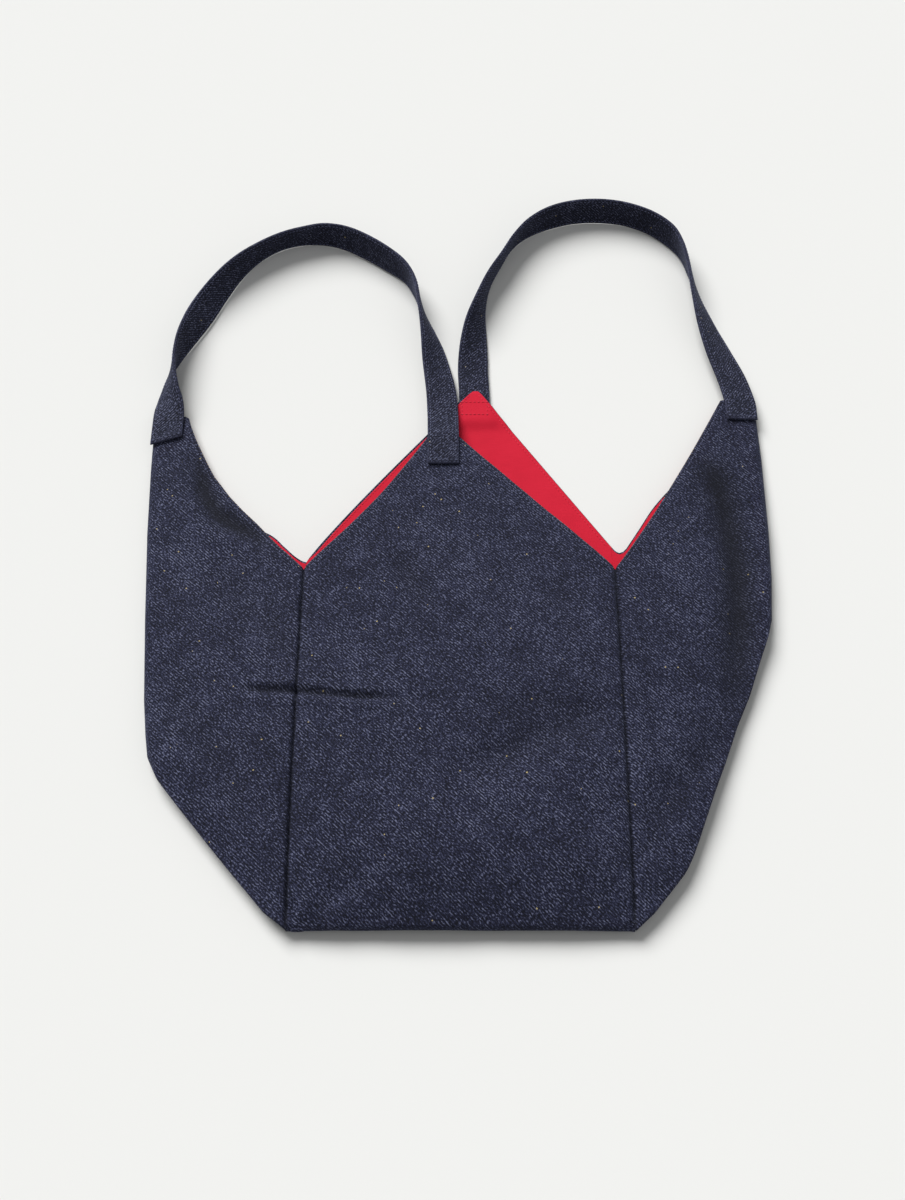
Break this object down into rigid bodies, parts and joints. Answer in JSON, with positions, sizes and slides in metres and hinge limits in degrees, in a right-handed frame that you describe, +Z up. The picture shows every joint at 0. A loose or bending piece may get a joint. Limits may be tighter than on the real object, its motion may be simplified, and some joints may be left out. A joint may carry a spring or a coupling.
{
  "type": "trapeze bag",
  "caption": "Soft denim trapeze bag lying flat: four pointed panels round a folded base, a plain red lining, and two strap handles that join the tips.",
  "frame": {"origin": "on the underside of the back panel, on the bag's centre line, half way up the front seams, with the bag lying flat", "axes": "+X to the bag's right as it is seen from above, +Y from the base to the tips and handles, +Z up"},
  "size_m": [0.4966, 0.6585, 0.03],
  "materials": {
    "denim": "dark indigo denim with a fine twill",
    "lining": "plain woven red cotton",
    "strap": "dark indigo denim, folded and pressed",
    "thread": "navy sewing thread"
  },
  "bodies": {
    "bag_back": {"back_panel": "denim", "right_side_panel": "denim", "base_panel": "denim", "back_lining": "lining", "right_side_lining": "lining", "base_lining": "lining", "right_strap_back_end": "strap", "right_strap_side_end": "strap", "back_box_stitch": "thread", "right_box_stitch": "thread", "back_rim_stitch": "thread", "right_rim_stitch": "thread", "back_left_seam_thread": "thread", "back_right_seam_thread": "thread", "base_front_seam_thread": "thread", "base_back_seam_thread": "thread"},
    "bag_front": {"front_panel": "denim", "left_side_panel": "denim", "front_lining": "lining", "left_side_lining": "lining", "left_strap_front_end": "strap", "left_strap_side_end": "strap", "front_box_stitch": "thread", "left_box_stitch": "thread", "front_rim_stitch": "thread", "left_rim_stitch": "thread", "front_left_seam_thread": "thread", "front_right_seam_thread": "thread"},
    "left_handle": {"left_strap_loop": "strap"},
    "right_handle": {"right_strap_loop": "strap"}
  },
  "joints": [
    {"name": "mouth_open", "type": "hinge", "parent": "bag_back", "child": "bag_front", "pos_m": [0, -0.141, 0.012], "axis": [1, 0, 0], "range_deg": [0, 14]},
    {"name": "left_handle_swing", "type": "hinge", "parent": "bag_front", "child": "left_handle", "pos_m": [-0.0129, 0.2913, 0.012], "axis": [1, 0, 0], "range_deg": [0, 120]},
    {"name": "right_handle_swing", "type": "hinge", "parent": "bag_back", "child": "right_handle", "pos_m": [0.0129, 0.3143, 0.007], "axis": [0.9998, 0, 0.02], "range_deg": [0, 120]}
  ]
}
